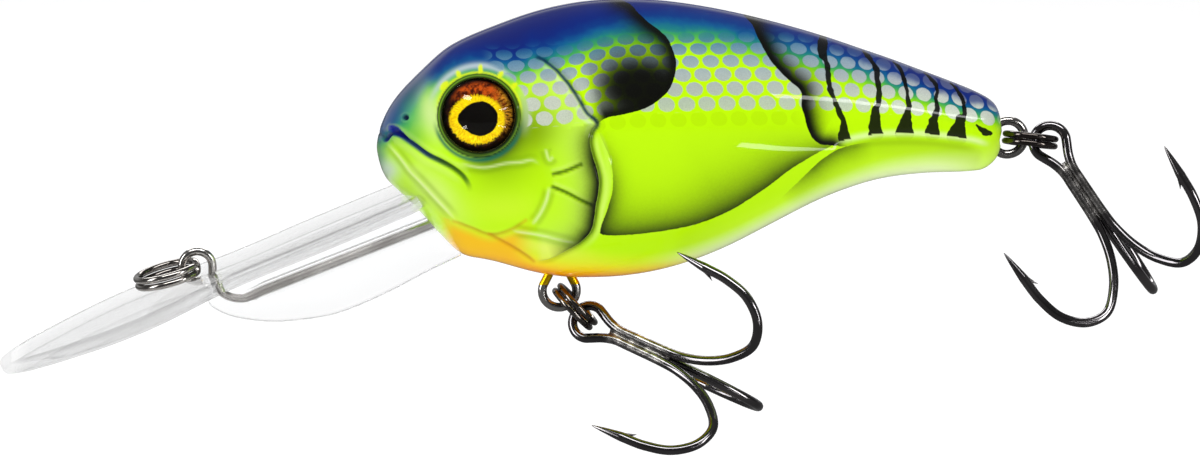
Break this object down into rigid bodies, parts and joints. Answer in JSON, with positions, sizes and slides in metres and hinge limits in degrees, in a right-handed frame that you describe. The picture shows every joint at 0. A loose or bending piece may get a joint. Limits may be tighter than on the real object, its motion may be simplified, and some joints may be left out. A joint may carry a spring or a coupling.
{
  "type": "crankbait lure",
  "caption": "Deep-diving crankbait fishing lure with a hollow painted body, clear diving lip, line ring and two treble hooks on split rings.",
  "frame": {"origin": "on the line split ring's flat face, at its front, on the joint plane between the body halves", "axes": "+X from the lip towards the tail, +Z towards the back, -Y out of the fish's left side"},
  "size_m": [0.1138, 0.0232, 0.0411],
  "materials": {
    "painted_body": "gloss clear coat over blue, silver, chartreuse and orange paint",
    "clear_lip": "polished clear polycarbonate",
    "steel_wire": "bright drawn stainless wire",
    "ring_steel": "dark nickel plate",
    "black_nickel": "black nickel plate, brazed shank",
    "iris_print": "printed iris with a black pupil",
    "clear_dome": "clear epoxy dome",
    "cast_weight": "cast weight",
    "ball_steel": "polished bearing steel"
  },
  "bodies": {
    "lure_body": {"body_shell_left": "painted_body", "body_shell_right": "painted_body", "diving_lip": "clear_lip", "line_tie_wire": "steel_wire", "belly_hanger": "steel_wire", "tail_hanger": "steel_wire", "left_eye_iris": "iris_print", "left_eye_dome": "clear_dome", "right_eye_iris": "iris_print", "right_eye_dome": "clear_dome", "ballast_weight": "cast_weight"},
    "line_ring": {"line_split_ring": "ring_steel"},
    "belly_ring": {"belly_split_ring": "ring_steel"},
    "belly_hook": {"belly_treble_double_hook": "black_nickel", "belly_treble_single_hook": "black_nickel"},
    "tail_ring": {"tail_split_ring": "ring_steel"},
    "tail_hook": {"tail_treble_double_hook": "black_nickel", "tail_treble_single_hook": "black_nickel"},
    "front_rattle": {"rattle_ball_front": "ball_steel"},
    "middle_rattle": {"rattle_ball_middle": "ball_steel"},
    "rear_rattle": {"rattle_ball_rear": "ball_steel"}
  },
  "joints": [
    {"name": "line_ring_swing", "type": "hinge", "parent": "lure_body", "child": "line_ring", "pos_m": [0.00582, 0, 0.0008], "axis": [0, 1, 0], "range_deg": [-7, 150]},
    {"name": "belly_ring_swing", "type": "hinge", "parent": "lure_body", "child": "belly_ring", "pos_m": [0.04034, 0, -0.00229], "axis": [0, 1, 0], "range_deg": [-6, 95]},
    {"name": "belly_hook_swing", "type": "hinge", "parent": "belly_ring", "child": "belly_hook", "pos_m": [0.04184, 0, -0.0039], "axis": [0.7314, 0, 0.682], "range_deg": [-11, 79]},
    {"name": "tail_ring_swing", "type": "hinge", "parent": "lure_body", "child": "tail_ring", "pos_m": [0.08359, 0, 0.01178], "axis": [0, 1, 0], "range_deg": [-40, 60]},
    {"name": "tail_hook_swing", "type": "hinge", "parent": "tail_ring", "child": "tail_hook", "pos_m": [0.08562, -0.00097, 0.01167], "axis": [0.137, 0.1762, 0.9748], "range_deg": [-22, 58]},
    {"name": "front_rattle_slide", "type": "slide", "parent": "lure_body", "child": "front_rattle", "axis": [0, 1, 0], "range_m": [-0.0034, 0.0034]},
    {"name": "middle_rattle_slide", "type": "slide", "parent": "lure_body", "child": "middle_rattle", "axis": [0, 1, 0], "range_m": [-0.0035, 0.0035]},
    {"name": "rear_rattle_slide", "type": "slide", "parent": "lure_body", "child": "rear_rattle", "axis": [0, 1, 0], "range_m": [-0.0029, 0.0029]}
  ]
}
